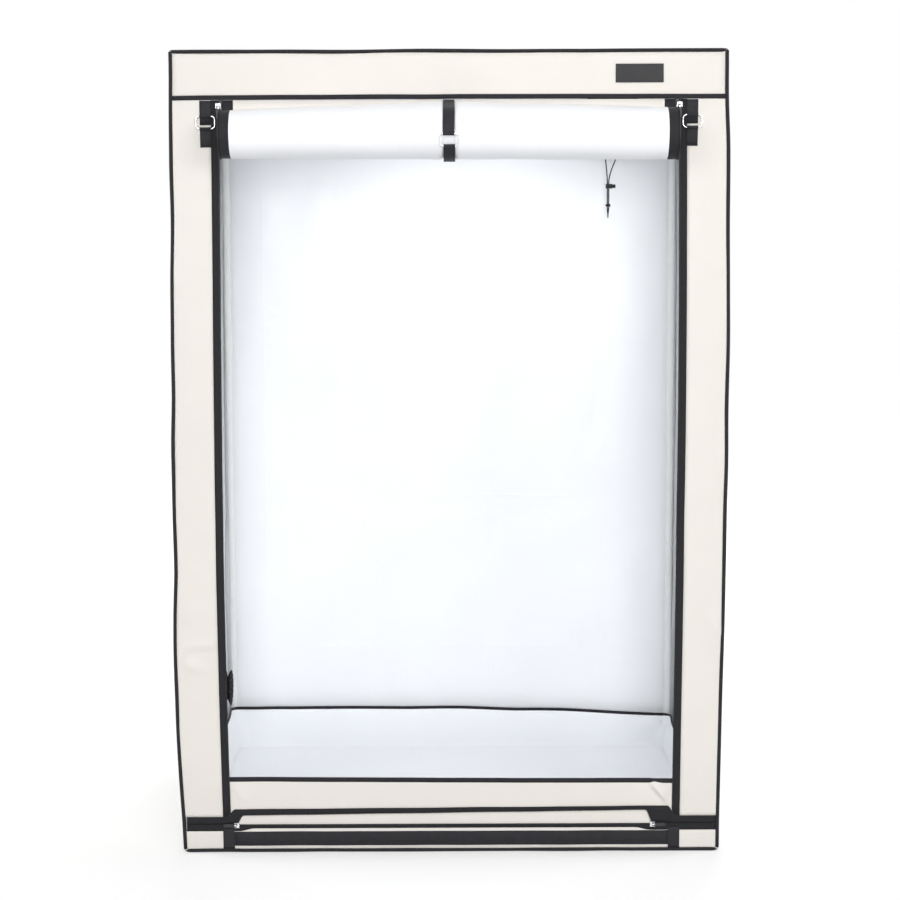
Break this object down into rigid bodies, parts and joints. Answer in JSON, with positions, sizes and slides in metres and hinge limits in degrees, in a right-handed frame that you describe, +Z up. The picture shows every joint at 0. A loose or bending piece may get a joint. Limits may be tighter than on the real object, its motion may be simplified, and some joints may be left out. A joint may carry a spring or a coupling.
{
  "type": "indoor grow tent",
  "caption": "Upright fabric grow tent on a white tube frame, its zipped front door rolled up under the header, with a lift-out spill tray, hanging bars and drawstring duct ports.",
  "frame": {"origin": "centre of the footprint on the underside of the fabric floor", "axes": "+Z up, +X to the right of someone facing the door, -Y out of the door"},
  "size_m": [1.2122, 1.0239, 1.7886],
  "materials": {
    "white_outer_cloth": "matt off-white coated cloth",
    "white_inner_cloth": "smooth white coated cloth with a soft sheen",
    "black_webbing": "matt woven black tape and binding",
    "bright_metal": "bright nickel plate",
    "black_plastic": "satin moulded plastic",
    "white_tube": "white powder coat on steel"
  },
  "bodies": {
    "tent": {"back_left_upright": "white_tube", "back_panel": "white_outer_cloth", "back_port_sleeve": "black_webbing", "back_right_upright": "white_tube", "base_back_left_corner": "white_tube", "base_back_rail": "white_tube", "base_back_right_corner": "white_tube", "base_front_left_corner": "white_tube", "base_front_rail": "white_tube", "base_front_right_corner": "white_tube", "base_left_rail": "white_tube", "base_panel": "white_outer_cloth", "base_right_rail": "white_tube", "base_zip_tapes": "black_webbing", "bottom_piping": "black_webbing", "centre_ring": "bright_metal", "centre_strap_lower": "black_webbing", "centre_strap_upper": "black_webbing", "cover_binding": "black_webbing", "door_roll": "white_inner_cloth", "drawcord": "black_webbing", "floor_panel": "white_inner_cloth", "front_left_upright": "white_tube", "front_panel": "white_outer_cloth", "front_right_upright": "white_tube", "grip_band": "black_webbing", "left_door_zip_tape": "black_webbing", "left_panel": "white_outer_cloth", "left_port_sleeve": "black_webbing", "left_side_strap": "black_webbing", "right_door_zip_tape": "black_webbing", "right_panel": "white_outer_cloth", "right_side_strap": "black_webbing", "roof_panel": "white_outer_cloth", "sill_panel": "white_outer_cloth", "top_back_left_corner": "white_tube", "top_back_rail": "white_tube", "top_back_right_corner": "white_tube", "top_front_left_corner": "white_tube", "top_front_rail": "white_tube", "top_front_right_corner": "white_tube", "top_left_rail": "white_tube", "top_right_rail": "white_tube"},
    "left_door_slider": {"left_door_slider": "bright_metal"},
    "left_door_pull": {"left_door_pull": "black_plastic"},
    "right_door_slider": {"right_door_slider": "bright_metal"},
    "right_door_pull": {"right_door_pull": "black_plastic"},
    "left_base_slider": {"left_base_slider": "bright_metal"},
    "left_base_pull": {"left_base_pull": "black_plastic"},
    "right_base_slider": {"right_base_slider": "bright_metal"},
    "right_base_pull": {"right_base_pull": "black_plastic"},
    "front_hanging_bar": {"front_hanging_bar": "white_tube"},
    "back_hanging_bar": {"back_hanging_bar": "white_tube"},
    "left_ring": {"left_ring": "bright_metal"},
    "left_strap_tab": {"left_strap_tab": "black_webbing"},
    "right_ring": {"right_ring": "bright_metal"},
    "right_strap_tab": {"right_strap_tab": "black_webbing"},
    "cord_lock": {"cord_lock": "black_plastic"},
    "cord_lock_button": {"cord_lock_button": "black_plastic"},
    "spill_tray": {"spill_tray": "white_inner_cloth"}
  },
  "joints": [
    {"name": "left_door_zip", "type": "slide", "parent": "tent", "child": "left_door_slider", "axis": [0, 0, 1], "range_m": [-1.556, 0]},
    {"name": "left_door_pull_hinge", "type": "hinge", "parent": "left_door_slider", "child": "left_door_pull", "pos_m": [-0.5, -0.45709, 1.6684], "axis": [-1, 0, 0], "range_deg": [0, 150]},
    {"name": "right_door_zip", "type": "slide", "parent": "tent", "child": "right_door_slider", "axis": [0, 0, 1], "range_m": [-1.556, 0]},
    {"name": "right_door_pull_hinge", "type": "hinge", "parent": "right_door_slider", "child": "right_door_pull", "pos_m": [0.5, -0.45709, 1.6684], "axis": [-1, 0, 0], "range_deg": [0, 150]},
    {"name": "left_base_zip", "type": "slide", "parent": "tent", "child": "left_base_slider", "axis": [1, 0, 0], "range_m": [-0.085, 0.453]},
    {"name": "left_base_pull_hinge", "type": "hinge", "parent": "left_base_slider", "child": "left_base_pull", "pos_m": [-0.485, -0.45709, 0.063], "axis": [0, 0, 1], "range_deg": [0, 150]},
    {"name": "right_base_zip", "type": "slide", "parent": "tent", "child": "right_base_slider", "axis": [-1, 0, 0], "range_m": [-0.085, 0.4228]},
    {"name": "right_base_pull_hinge", "type": "hinge", "parent": "right_base_slider", "child": "right_base_pull", "pos_m": [0.4548, -0.45709, 0.063], "axis": [0, 0, -1], "range_deg": [0, 150]},
    {"name": "front_bar_slide", "type": "slide", "parent": "tent", "child": "front_hanging_bar", "axis": [0, 1, 0], "range_m": [-0.22, 0.13]},
    {"name": "back_bar_slide", "type": "slide", "parent": "tent", "child": "back_hanging_bar", "axis": [0, 1, 0], "range_m": [-0.13, 0.22]},
    {"name": "left_ring_hinge", "type": "hinge", "parent": "tent", "child": "left_ring", "pos_m": [-0.5281, -0.4562, 1.6464], "axis": [-1, 0, 0], "range_deg": [0, 80]},
    {"name": "left_tab_hinge", "type": "hinge", "parent": "left_ring", "child": "left_strap_tab", "pos_m": [-0.5281, -0.4562, 1.6196], "axis": [-1, 0, 0], "range_deg": [0, 60]},
    {"name": "right_ring_hinge", "type": "hinge", "parent": "tent", "child": "right_ring", "pos_m": [0.5281, -0.4562, 1.6464], "axis": [-1, 0, 0], "range_deg": [0, 80]},
    {"name": "right_tab_hinge", "type": "hinge", "parent": "right_ring", "child": "right_strap_tab", "pos_m": [0.5281, -0.4562, 1.6196], "axis": [-1, 0, 0], "range_deg": [0, 60]},
    {"name": "cord_lock_slide", "type": "slide", "parent": "tent", "child": "cord_lock", "axis": [0, 0, 1], "range_m": [-0.03, 0]},
    {"name": "cord_lock_press", "type": "slide", "parent": "cord_lock", "child": "cord_lock_button", "axis": [-1, 0, 0], "range_m": [0, 0.003], "stiffness_N_per_m": 800, "springref_m": -0.002},
    {"name": "tray_lift", "type": "slide", "parent": "tent", "child": "spill_tray", "axis": [0, 0, 1], "range_m": [0, 0.05]}
  ]
}
